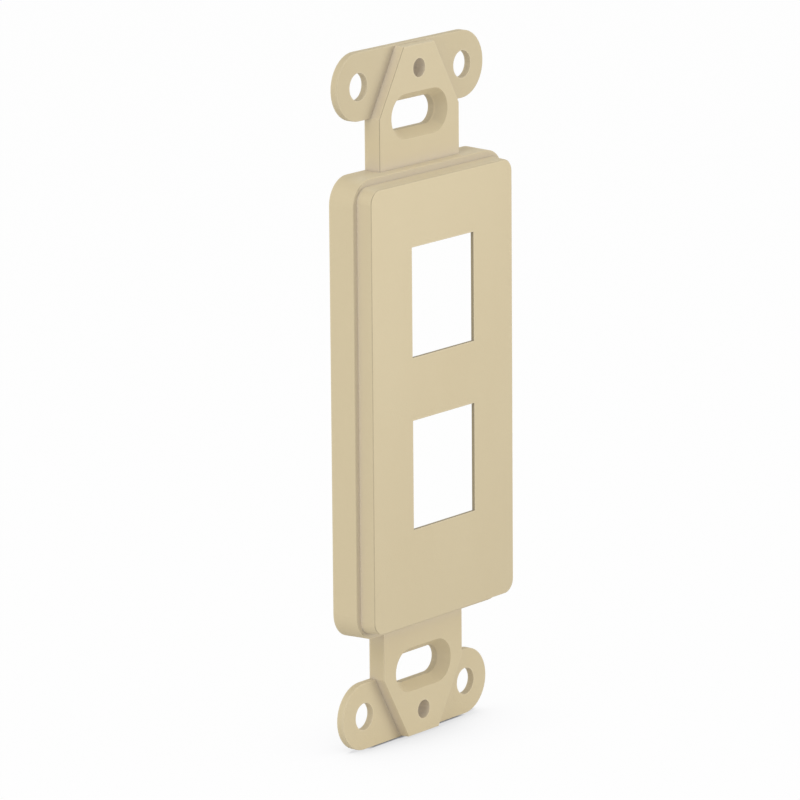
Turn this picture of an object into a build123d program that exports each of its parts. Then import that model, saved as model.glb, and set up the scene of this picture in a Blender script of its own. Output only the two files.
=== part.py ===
from build123d import *
from math import radians, tan
import os

os.makedirs("parts", exist_ok=True)

# Keystone faceplate: a one-piece moulded strap insert with two windows for snap-in jacks.
# X is the width, Z the height, and the front faces -Y. The back mounting plane is Y = 0.

# Fixing centres: the wall box sets the slots, and the cover plate's screws lie this far beyond
box_screw_spacing = 83.34
plate_screw_offset = 6.75

# Raised face, which fills the cover plate's opening
face_width = 33.3
face_height = 66.1
face_corner_radius = 2.0
face_rise = 2.45
face_draft = 5.0
face_edge_radius = 0.15

# Shoulder block, which sits behind the cover plate and stands out all round the raised face
shoulder_side_ledge = 1.15
shoulder_end_ledge = 1.38
block_depth = 4.4
block_corner_radius = 4.0
block_draft = 2.0
block_edge_radius = 0.18

# Hollow back
shell_wall = 1.8
face_skin = 2.0

# Necks and the tapered bosses that run out over the ears
neck_width = 18.9
neck_thickness = 2.7
neck_draft = 2.0
neck_edge_radius = 0.12
boss_end_width = 7.3
boss_setback = 0.15

# Ears, round-ended plates with two holes each
ear_thickness = 1.1
ear_height = 10.1
ear_hole_spacing = 24.3
ear_row_setback = 1.32
ear_hole_diameter = 4.1
ear_edge_radius = 0.12

# Threaded-screw holes for the cover plate
plate_screw_hole_diameter = 2.8

# Box screw slots, countersunk from the front
slot_length = 10.8
slot_height = 4.3
countersink_margin = 1.2
countersink_depth = 1.65

# Jack windows
window_width = 14.6
window_height = 16.4
window_lip = 0.5
window_relief = 2.3

# Jack ports behind the windows: an upper wall for the hook and a lower wall for the latch
port_pitch = 25.8
port_depth = 9.9
port_wall = 1.8
port_side_margin = 1.2
hook_room = 1.2
latch_room = 5.8
hook_catch_rise = 1.0
latch_catch_rise = 1.7
catch_length = 1.8
catch_tip = 0.6

# Places worked out from the sizes above
block_width = face_width + 2 * shoulder_side_ledge
block_height = face_height + 2 * shoulder_end_ledge
face_front = block_depth + face_rise
face_draft_run = face_rise * tan(radians(face_draft))
plate_screw_spacing = box_screw_spacing + 2 * plate_screw_offset
ear_row_spacing = plate_screw_spacing - 2 * ear_row_setback
ear_row = ear_row_spacing / 2
ear_inner = ear_row - ear_height / 2
ear_outer = ear_row + ear_height / 2
boss_end = ear_outer - boss_setback
port_room = window_height + hook_room + latch_room
window_rise = (latch_room - hook_room) / 2
port_wall_width = window_width + 2 * port_side_margin

back = Plane.XZ
ear_centres = [(0, -ear_row), (0, ear_row)]
port_heights = [-port_pitch / 2, port_pitch / 2]
window_centres = [(0, height + window_rise) for height in port_heights]


def catch_wall(inner, outward, catch_rise):
    """Side outline of a port wall, drawn in Y and Z, from the face skin to the catch at its rear.

    inner is the height of the wall's face towards the jack, and outward is +1 or -1, the way
    from that face into the wall. The catch stands off that face towards the jack.
    """
    front_end = -face_front + face_skin / 2
    rear_end = port_depth - face_front
    catch_start = rear_end - catch_length
    Polyline(
        (front_end, inner),
        (catch_start, inner),
        (catch_start, inner - outward * catch_rise),
        (catch_start + catch_tip, inner - outward * catch_rise),
        (rear_end, inner),
        (rear_end, inner + outward * port_wall),
        (front_end, inner + outward * port_wall),
        close=True,
    )


with BuildPart() as faceplate:
    # Ears
    with BuildSketch(back):
        with Locations(*ear_centres):
            SlotCenterToCenter(ear_hole_spacing, ear_height)
    extrude(amount=ear_thickness)
    fillet(faceplate.edges().group_by(Axis.Y)[0], ear_edge_radius)

    # Necks and bosses, one tapered bar from end to end
    with BuildSketch(back):
        with BuildLine():
            Polyline(
                (neck_width / 2, 0),
                (neck_width / 2, ear_inner),
                (boss_end_width / 2, boss_end),
                (0, boss_end),
            )
            mirror(about=Plane.YZ)
            mirror(about=Plane.XZ)
        make_face()
    extrude(amount=neck_thickness, taper=neck_draft)
    fillet(faceplate.edges().group_by(Axis.Y)[0], neck_edge_radius)

    # Shoulder block
    with BuildSketch(back):
        RectangleRounded(block_width, block_height, block_corner_radius)
    extrude(amount=block_depth, taper=block_draft)
    fillet(faceplate.edges().group_by(Axis.Y)[0], block_edge_radius)

    # Raised face
    with BuildSketch(back.offset(block_depth)):
        RectangleRounded(
            face_width + 2 * face_draft_run,
            face_height + 2 * face_draft_run,
            face_corner_radius + face_draft_run,
        )
    extrude(amount=face_rise, taper=face_draft)
    fillet(faceplate.edges().group_by(Axis.Y)[0], face_edge_radius)

    # Hollow back, stepped like the outside so the walls stay even
    with BuildSketch(back):
        RectangleRounded(
            block_width - 2 * shell_wall,
            block_height - 2 * shell_wall,
            block_corner_radius - shell_wall,
        )
    extrude(amount=block_depth - shell_wall, mode=Mode.SUBTRACT)
    with BuildSketch(back):
        Rectangle(face_width - 2 * shell_wall, face_height - 2 * shell_wall)
    extrude(amount=face_front - face_skin, mode=Mode.SUBTRACT)

    # Jack port walls
    for height in port_heights:
        with BuildSketch(Plane.YZ):
            with BuildLine():
                catch_wall(height + port_room / 2, 1, hook_catch_rise)
            make_face()
            with BuildLine():
                catch_wall(height - port_room / 2, -1, latch_catch_rise)
            make_face()
        extrude(amount=port_wall_width / 2, both=True)

    # Windows, a thin lip at the front with the skin bevelled away behind it
    with BuildSketch(back.offset(face_front)):
        with Locations(*window_centres):
            Rectangle(window_width, window_height)
    extrude(amount=-face_skin, mode=Mode.SUBTRACT)
    for centre in window_centres:
        with BuildSketch(back.offset(face_front - window_lip)):
            with Locations(centre):
                Rectangle(window_width, window_height)
        with BuildSketch(back.offset(face_front - face_skin)):
            with Locations(centre):
                Rectangle(window_width + 2 * window_relief, window_height + 2 * hook_room)
        loft(mode=Mode.SUBTRACT)

    # Box screw slots
    for height in (-box_screw_spacing / 2, box_screw_spacing / 2):
        with BuildSketch(back):
            with Locations((0, height)):
                SlotOverall(slot_length, slot_height)
        extrude(amount=neck_thickness, mode=Mode.SUBTRACT)
        with BuildSketch(back.offset(neck_thickness)):
            with Locations((0, height)):
                SlotOverall(
                    slot_length + 2 * countersink_margin,
                    slot_height + 2 * countersink_margin,
                )
        with BuildSketch(back.offset(neck_thickness - countersink_depth)):
            with Locations((0, height)):
                SlotOverall(slot_length, slot_height)
        loft(mode=Mode.SUBTRACT)

    # Round holes, straight through
    with BuildSketch(back):
        with GridLocations(0, plate_screw_spacing, 1, 2):
            Circle(plate_screw_hole_diameter / 2)
    extrude(amount=neck_thickness, mode=Mode.SUBTRACT)
    with BuildSketch(back):
        with GridLocations(ear_hole_spacing, ear_row_spacing, 2, 2):
            Circle(ear_hole_diameter / 2)
    extrude(amount=ear_thickness, mode=Mode.SUBTRACT)

faceplate.part.label = "faceplate"
export_step(faceplate.part, "parts/faceplate.step")
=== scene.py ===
import bpy
import math
import numpy as np
from functools import partial
from mathutils import Matrix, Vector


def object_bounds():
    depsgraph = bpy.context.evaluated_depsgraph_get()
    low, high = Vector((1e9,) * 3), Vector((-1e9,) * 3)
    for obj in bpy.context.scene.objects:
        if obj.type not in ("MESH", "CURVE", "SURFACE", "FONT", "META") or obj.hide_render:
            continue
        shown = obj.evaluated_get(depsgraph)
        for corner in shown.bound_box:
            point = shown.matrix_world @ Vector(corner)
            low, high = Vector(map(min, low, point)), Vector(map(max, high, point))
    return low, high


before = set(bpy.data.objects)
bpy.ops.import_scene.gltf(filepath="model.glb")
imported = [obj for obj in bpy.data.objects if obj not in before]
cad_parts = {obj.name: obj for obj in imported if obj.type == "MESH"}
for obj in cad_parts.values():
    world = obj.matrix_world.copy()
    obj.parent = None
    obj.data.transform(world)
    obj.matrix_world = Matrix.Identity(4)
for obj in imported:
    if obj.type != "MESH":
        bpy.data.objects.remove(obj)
cad_low, cad_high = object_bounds()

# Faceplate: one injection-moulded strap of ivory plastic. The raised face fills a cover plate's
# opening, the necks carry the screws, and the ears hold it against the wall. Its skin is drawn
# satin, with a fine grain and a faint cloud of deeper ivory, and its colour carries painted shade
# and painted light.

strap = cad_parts["faceplate"]
ivory = (0.662, 0.562, 0.366)
ivory_deep = (0.634, 0.530, 0.338)
# Painted shade tint for sheltered places:
ivory_painted_recess_tint = (0.644, 0.570, 0.466)
# Painted light: a paler ivory for upward shelves and, as a painted highlight, for outside edges.
ivory_painted_light = (0.760, 0.670, 0.480)

window_pitch, window_pair_middle = 0.0258, 0.0023
window_width, window_height, lip_back = 0.0146, 0.0164, 0.0063
slot_height_up, countersink_length, countersink_height = 0.04167, 0.0132, 0.0067
neck_thickness, slot_wall_depth = 0.0027, 0.00105
ear_start, ear_thickness, tip_height = 0.0420, 0.00115, 0.0514
ledge_front, face_half, face_foot, face_step = 0.0044, 0.0166, -0.0333, 0.0055
window_slack, slot_slack, ear_slack, ledge_slack = 0.00001, 0.00002, 0.0001, 0.00004

crease_reach, recess_reach, edge_reach = 0.0005, 0.0040, 0.00032
closed_at, open_at = 0.45, 0.90
cloud_share, smoothest, roughest = 0.35, 0.52, 0.62
crease_painted_shade, edge_highlight_share, shelf_light_share = 0.87, 0.60, 0.62
lip_painted_shade, slot_wall_painted_shade, upper_ear_painted_shade, ledge_painted_shade = 0.40, 0.10, 0.06, 0.08
corner_painted_shade, beside_face_eased, slot_eased, top_corner_share = 0.28, 0.16, 0.72, 0.5
shelf_fade_back, shelf_fade_front = 0.0014, 0.0006
drift_up, drift_across = 1.4, 1.3


def worked(tree, operation, *terms):
    """The operation carried through the terms from the left. A term is a number or an output."""
    result, *others = terms
    for term in others:
        pair = tree.nodes.new("ShaderNodeMath")
        pair.operation = operation
        for socket, value in zip(pair.inputs, (result, term)):
            if isinstance(value, float):
                socket.default_value = value
            else:
                tree.links.new(value, socket)
        result = pair.outputs["Value"]
    return result


def apart(tree, value, middle):
    """How far the value lies from the middle: their difference without its sign."""
    return worked(tree, "ABSOLUTE", worked(tree, "SUBTRACT", value, middle), 0.0)


def graded(tree, value, start, end, low=0.0, high=1.0):
    """The value carried evenly from start and end to low and high, and held past both."""
    scale = tree.nodes.new("ShaderNodeMapRange")
    limits = {"From Min": start, "From Max": end, "To Min": low, "To Max": high}
    for socket, limit in limits.items():
        scale.inputs[socket].default_value = limit
    tree.links.new(value, scale.inputs["Value"])
    return scale.outputs["Result"]


def tinted(tree, under, colour, amount):
    """The tone under it mixed with the colour by the amount."""
    blend = tree.nodes.new("ShaderNodeMix")
    blend.data_type = "RGBA"
    blend.inputs["B"].default_value = (*colour, 1.0)
    tree.links.new(amount, blend.inputs["Factor"])
    if isinstance(under, tuple):
        blend.inputs["A"].default_value = (*under, 1.0)
    else:
        tree.links.new(under, blend.inputs["A"])
    return blend.outputs["Result"]


def shaded(tree, colour, shade):
    """The colour times the shade."""
    product = tree.nodes.new("ShaderNodeMix")
    product.data_type = "RGBA"
    product.blend_type = "MULTIPLY"
    product.inputs["Factor"].default_value = 1.0
    tree.links.new(colour, product.inputs["A"])
    tree.links.new(shade, product.inputs["B"])
    return product.outputs["Result"]


def moulded_ivory(name):
    """Satin ivory plastic. Its colour is ivory mixed with a deeper ivory by a slow cloud
    stretched along the strap. Where the surface is sheltered it is mixed with a leaner ivory, as
    a painted shade tint. It is mixed with a paler ivory on shelves that face up, as painted
    light, and on outside edges, as a painted highlight. That is multiplied by one painted shade,
    the product of those of the creases, a painted light drift over the face, the window rims, the
    upper ears, the slot walls, the front left and top edges, and the ledge. These tones are
    matched to the photograph by trial and fixed to the strap. The bump is a fine grain.
    """
    material = bpy.data.materials.new(name)
    material.use_nodes = True
    tree = material.node_tree
    nodes, links = tree.nodes, tree.links
    step, away, grade = partial(worked, tree), partial(apart, tree), partial(graded, tree)
    surface = nodes["Principled BSDF"]
    surface.inputs["IOR"].default_value = 1.5
    surface.inputs["Specular IOR Level"].default_value = 0.2

    place = nodes.new("ShaderNodeTexCoord")
    stretch = nodes.new("ShaderNodeMapping")
    stretch.inputs["Scale"].default_value = (1.0, 1.0, 0.45)
    links.new(place.outputs["Object"], stretch.inputs["Vector"])
    parts = nodes.new("ShaderNodeSeparateXYZ")
    links.new(place.outputs["Object"], parts.inputs["Vector"])
    sideways, depth, height = (parts.outputs[axis] for axis in "XYZ")

    def sheltered(reach, closed_value, open_value, inwards=False):
        """Closed value to open value, by the share of short rays out of the surface, or inwards
        into the plastic, that go as far as the reach without meeting it again."""
        rays = nodes.new("ShaderNodeAmbientOcclusion")
        rays.samples = 6
        rays.only_local = True
        rays.inside = inwards
        rays.inputs["Distance"].default_value = reach
        return grade(rays.outputs["AO"], closed_at, open_at, closed_value, open_value)

    def facing(direction, start=0.75, end=0.84):
        """The dot product of the surface's normal and the direction, graded from start to end."""
        along = nodes.new("ShaderNodeVectorMath")
        along.operation = "DOT_PRODUCT"
        along.inputs[1].default_value = direction
        links.new(place.outputs["Normal"], along.inputs[0])
        return grade(along.outputs["Value"], start, end)

    def less(mask, share=1.0):
        """One minus the share of the mask."""
        return step("SUBTRACT", 1.0, step("MULTIPLY", mask, share))

    across, up = away(sideways, 0.0), away(height, 0.0)
    from_window = away(away(height, window_pair_middle), window_pitch / 2)
    in_window = step("MULTIPLY",
                     step("LESS_THAN", across, window_width / 2 + window_slack),
                     step("LESS_THAN", from_window, window_height / 2 + window_slack))
    # Painted shade: the thin rims inside the windows, in front of the lip back, are darkened.
    in_lip = step("MULTIPLY", in_window, step("LESS_THAN", depth, -lip_back))
    in_slot = step("MULTIPLY",
                   step("LESS_THAN", across, countersink_length / 2 + slot_slack),
                   step("LESS_THAN", away(up, slot_height_up),
                        countersink_height / 2 + slot_slack))
    # Painted shade: the slot walls behind the countersink taper are darkened.
    below_taper = step("MULTIPLY", in_slot, step("LESS_THAN", depth, -slot_slack),
                       step("GREATER_THAN", depth, -slot_wall_depth))
    # Painted shade: the upper ears are made a little darker than the rest.
    in_ear = step("MULTIPLY", step("GREATER_THAN", height, ear_start),
                  step("GREATER_THAN", depth, -ear_thickness))
    off_ears = step("LESS_THAN", depth, -ear_thickness - ear_slack)
    beside_face = step("GREATER_THAN", across, face_half)
    on_face = step("LESS_THAN", depth, -face_step)
    # Painted shade: the ledge of the block's front above and below the raised face is darkened.
    on_ledge = step("MULTIPLY", step("LESS_THAN", away(depth, -ledge_front), ledge_slack),
                    less(step("MAXIMUM", in_window, beside_face)))

    # Painted shade: edges that face front and left, above the face's foot and off the ears, are
    # darkened, and so, at half strength, are the top front edges of the raised face. The
    # darkening is less on the block beside the face and much less in the slots.
    off_slots = less(in_slot, slot_eased)
    left_corner = step("MULTIPLY", facing((-0.707, -0.707, 0.0)), off_ears,
                       step("GREATER_THAN", height, face_foot))
    top_corner = step("MULTIPLY", facing((0.0, -0.707, 0.707)), on_face, top_corner_share)
    on_corner = step("MULTIPLY", step("MAXIMUM", left_corner, top_corner), off_slots)
    corner_shade_depth = step("SUBTRACT", corner_painted_shade,
                        step("MULTIPLY", beside_face, beside_face_eased))

    # Painted shade: surfaces within the crease reach of other surfaces are darkened towards the
    # crease tone, except at the strap's top and bottom ends and on the block beside the face.
    crease_shade = step("MAXIMUM", sheltered(crease_reach, crease_painted_shade, 1.0),
                        step("GREATER_THAN", up, tip_height), beside_face)
    # Painted light and shade: the front of the raised face is made lighter towards its upper left
    # and darker towards its lower right.
    drift = step("SUBTRACT", step("MULTIPLY", height, drift_up),
                 step("MULTIPLY", sideways, drift_across))
    on_front = step("MULTIPLY", facing((0.0, -1.0, 0.0), 0.90, 0.99), on_face)
    painted_light_drift = step("ADD", 1.0, step("MULTIPLY", on_front, drift))
    # Painted shade: the product of the darkened creases, the painted light drift over the face,
    # and the darkened window rims, upper ears, slot walls, corner edges and ledge.
    shade = step("MULTIPLY", crease_shade, painted_light_drift, less(in_lip, lip_painted_shade),
                 less(in_ear, upper_ear_painted_shade), less(below_taper, slot_wall_painted_shade),
                 less(on_corner, corner_shade_depth), less(on_ledge, ledge_painted_shade))

    # Painted light: surfaces that face up, in front of the necks and outside the windows and
    # slots, are mixed towards the paler ivory.
    before_neck = grade(depth, shelf_fade_back - neck_thickness,
                        -shelf_fade_front - neck_thickness)
    shelf_painted_light = step("MULTIPLY", facing((0.0, 0.0, 1.0), 0.80, 1.0), before_neck,
                    less(step("MAXIMUM", in_window, in_slot)))
    # Painted highlight: outside edges, found by short rays into the plastic, are mixed towards
    # the paler ivory, but not on the darkened corner edges and less in the slots.
    edge_painted_highlight = step("MULTIPLY", sheltered(edge_reach, edge_highlight_share, 0.0, inwards=True),
                   step("SUBTRACT", off_slots, on_corner))

    cloud = nodes.new("ShaderNodeTexNoise")
    cloud.inputs["Scale"].default_value = 55.0
    cloud.inputs["Detail"].default_value = 3.0
    cloud.inputs["Roughness"].default_value = 0.55
    links.new(stretch.outputs["Vector"], cloud.inputs["Vector"])
    deeper = grade(cloud.outputs["Fac"], 0.35, 0.65, 0.0, cloud_share)
    tone = tinted(tree, ivory, ivory_deep, deeper)
    # Painted shade tint: where the surface is sheltered within the recess reach, the ivory turns
    # leaner and less yellow.
    tone = tinted(tree, tone, ivory_painted_recess_tint, sheltered(recess_reach, 1.0, 0.0))
    # Painted light on the upward shelves, then a painted highlight on the outside edges.
    tone = tinted(tree, tone, ivory_painted_light, step("MULTIPLY", shelf_painted_light, shelf_light_share))
    tone = tinted(tree, tone, ivory_painted_light, edge_painted_highlight)
    links.new(shaded(tree, tone, shade), surface.inputs["Base Color"])
    satin = grade(cloud.outputs["Fac"], 0.3, 0.7, smoothest, roughest)
    links.new(satin, surface.inputs["Roughness"])

    grain = nodes.new("ShaderNodeTexNoise")
    grain.inputs["Scale"].default_value = 4200.0
    grain.inputs["Detail"].default_value = 2.0
    links.new(place.outputs["Object"], grain.inputs["Vector"])
    grain_bump = nodes.new("ShaderNodeBump")
    grain_bump.inputs["Strength"].default_value = 0.35
    grain_bump.inputs["Distance"].default_value = 0.00005
    links.new(grain.outputs["Fac"], grain_bump.inputs["Height"])
    links.new(grain_bump.outputs["Normal"], surface.inputs["Normal"])
    return material


strap.data.materials.clear()
strap.data.materials.append(moulded_ivory("ivory_plastic"))

# Floor: plain white card under the strap, which stands on its lower ears. To the camera the card
# is almost wholly its own white, so only the strap's faint shadow, mostly painted and a little
# cast by the lamps, tells it from the air.

floor_half = 4.0
floor_corners = np.array([(-1, -1), (1, -1), (1, 1), (-1, 1)]) * floor_half
floor_points = np.column_stack([floor_corners, np.full(4, cad_low[2])])
floor_mesh = bpy.data.meshes.new("floor")
floor_mesh.from_pydata(floor_points.tolist(), [], [(0, 1, 2, 3)])
floor = bpy.data.objects.new("floor", floor_mesh)
bpy.context.scene.collection.objects.link(floor)

card_white, cool_lift = 0.80, 0.004
shadow_reach, touch_reach = 0.017, 0.0009
shadow_core, core_tone = 0.46, (0.74, 0.74, 0.75, 1.0)
shadow_tones = ((0.53, 0.83), (0.60, 0.90), (0.72, 0.962), (0.88, 0.987))
touch_start, touch_full, touch_tone = -0.0019, -0.0013, 0.25
touch_closed, touch_open = 0.55, 0.85
ear_flat_end, ear_round_end = 0.0095, 0.0118
back_gap, back_tone = 0.0004, 0.85


def seen_directly(tree):
    """One for camera, mirror and glass rays and nought for the rest: the greatest of the marks
    of those three kinds of ray."""
    ray = tree.nodes.new("ShaderNodeLightPath")
    return worked(tree, "MAXIMUM", ray.outputs["Is Camera Ray"], ray.outputs["Is Glossy Ray"],
                  ray.outputs["Is Transmission Ray"])


def openness(tree, reach):
    """The share of short rays out of the card that go as far as the reach and meet nothing."""
    rays = tree.nodes.new("ShaderNodeAmbientOcclusion")
    rays.inputs["Distance"].default_value = reach
    return rays.outputs["AO"]


def white_card(name, own_white):
    """Diffuse white, of which the camera sees the share 1 - own_white lit by the lamps and the
    rest as plain white. Mirror and glass rays see the same mix. The plain white is multiplied by
    a painted soft shadow, graded by how open the card is. It is also multiplied by a painted
    contact shadow, a dark line which is the greatest of four lightness values: before, beside and
    behind the lower ears, and away from the strap.
    """
    material = bpy.data.materials.new(name)
    material.use_nodes = True
    tree = material.node_tree
    nodes, links = tree.nodes, tree.links
    nodes.clear()
    out = nodes.new("ShaderNodeOutputMaterial")
    lit = nodes.new("ShaderNodeBsdfDiffuse")
    lit.inputs["Color"].default_value = (card_white, card_white, card_white, 1.0)
    plain = nodes.new("ShaderNodeEmission")

    # Painted soft shadow: the plain white darkens where the card is closed in by the strap.
    shadow = nodes.new("ShaderNodeValToRGB")
    stops = shadow.color_ramp.elements
    stops[0].position, stops[0].color = shadow_core, core_tone
    stops[1].position, stops[1].color = 1.0, (1.0, 1.0, 1.0, 1.0)
    for position, value in shadow_tones:
        stops.new(position).color = (value, value, value + cool_lift, 1.0)
    links.new(openness(tree, shadow_reach), shadow.inputs["Fac"])

    place = nodes.new("ShaderNodeTexCoord")
    parts = nodes.new("ShaderNodeSeparateXYZ")
    links.new(place.outputs["Object"], parts.inputs["Vector"])
    sideways, depth = parts.outputs["X"], parts.outputs["Y"]
    # Painted contact shadow: the card is darkened where it is near the strap, just under the
    # lower ears' flat bottom. It is not darkened in front of them, behind them or past their
    # rounded ends.
    before = graded(tree, depth, touch_start, touch_full, 1.0, touch_tone)
    beside = graded(tree, apart(tree, sideways, 0.0), ear_flat_end, ear_round_end)
    behind = graded(tree, depth, 0.0, back_gap, 0.0, back_tone)
    away_from_strap = graded(tree, openness(tree, touch_reach), touch_closed, touch_open)
    contact = worked(tree, "MAXIMUM", before, beside, behind, away_from_strap)
    links.new(shaded(tree, shadow.outputs["Color"], contact), plain.inputs["Color"])

    mix = nodes.new("ShaderNodeMixShader")
    links.new(worked(tree, "MULTIPLY", seen_directly(tree), own_white), mix.inputs["Fac"])
    links.new(lit.outputs["BSDF"], mix.inputs[1])
    links.new(plain.outputs["Emission"], mix.inputs[2])
    links.new(mix.outputs["Shader"], out.inputs["Surface"])
    return material


floor_mesh.materials.append(white_card("white_card", own_white=0.97))

# Light: an even white room, seen as plain white, which gives most of the light, with three large
# soft lamps. The one at the right in front lights the face, the one at the left lights the
# flanks, and the high one at the left lights the tops and leaves only soft shade.

room_strength, room_seen_strength = 0.66, 1.0
room = bpy.data.worlds.new("room")
bpy.context.scene.world = room
room.use_nodes = True
room_nodes, room_links = room.node_tree.nodes, room.node_tree.links
room_nodes.clear()
room_out = room_nodes.new("ShaderNodeOutputWorld")
room_mix = room_nodes.new("ShaderNodeMixShader")
room_links.new(seen_directly(room.node_tree), room_mix.inputs["Fac"])
for mix_input, strength in ((1, room_strength), (2, room_seen_strength)):
    room_white = room_nodes.new("ShaderNodeBackground")
    room_white.inputs["Color"].default_value = (1.0, 1.0, 1.0, 1.0)
    room_white.inputs["Strength"].default_value = strength
    room_links.new(room_white.outputs["Background"], room_mix.inputs[mix_input])
room_links.new(room_mix.outputs["Shader"], room_out.inputs["Surface"])


def soft_lamp(name, towards, distance, wide, tall, watts):
    """A flat area lamp on the ray from the strap's middle that runs along towards, facing back
    at the middle: its local Z is the unit vector of towards, and its local X lies level."""
    back = np.array(towards) / np.linalg.norm(towards)
    side = np.cross((0.0, 0.0, 1.0), back)
    side /= np.linalg.norm(side)
    up = np.cross(back, side)
    turn = np.eye(4)
    turn[:3, 0], turn[:3, 1], turn[:3, 2], turn[:3, 3] = side, up, back, back * distance
    data = bpy.data.lights.new(name, "AREA")
    data.shape = "RECTANGLE"
    data.size, data.size_y = wide, tall
    data.energy = watts
    lamp = bpy.data.objects.new(name, data)
    bpy.context.scene.collection.objects.link(lamp)
    lamp.matrix_world = Matrix(turn.tolist())
    return lamp


soft_lamp("right_front_lamp", (0.8, -0.9, 0.14), distance=0.9, wide=0.6, tall=0.26, watts=2.9)
soft_lamp("left_side_lamp", (-1.0, -0.12, 0.14), distance=0.9, wide=0.45, tall=0.26, watts=1.15)
soft_lamp("left_top_lamp", (-0.8, -0.1, 0.8), distance=0.9, wide=0.5, tall=0.5, watts=1.65)

# Camera: a long lens from the left, a little above, as in the photograph. The numbers are the
# view direction, the tilt, the distance from the strap's middle, the aim off that middle, and
# the lens, as its focal length in pixels of the picture.

azimuth, elevation, tilt = (math.radians(angle) for angle in (-51.512, 12.944, -0.459))
camera_distance = 0.86805
aim_right, aim_up = 0.001061, 0.001511
focal_pixels, picture_pixels, sensor_width = 5884.1, 800, 36.0
back = np.array([
    math.sin(azimuth) * math.cos(elevation),
    -math.cos(azimuth) * math.cos(elevation),
    math.sin(elevation),
])
level_right = np.array([math.cos(azimuth), math.sin(azimuth), 0.0])
level_up = np.cross(back, level_right)
right = math.cos(tilt) * level_right + math.sin(tilt) * level_up
up = np.cross(back, right)
pose = np.eye(4)
pose[:3, 0], pose[:3, 1], pose[:3, 2] = right, up, back
pose[:3, 3] = back * camera_distance - right * aim_right - up * aim_up
lens = bpy.data.cameras.new("camera")
lens.sensor_width = sensor_width
lens.lens = focal_pixels / picture_pixels * sensor_width
lens.clip_start = 0.01
camera = bpy.data.objects.new("camera", lens)
bpy.context.scene.collection.objects.link(camera)
camera.matrix_world = Matrix(pose.tolist())
bpy.context.scene.camera = camera

bpy.context.scene.view_settings.view_transform = "Standard"
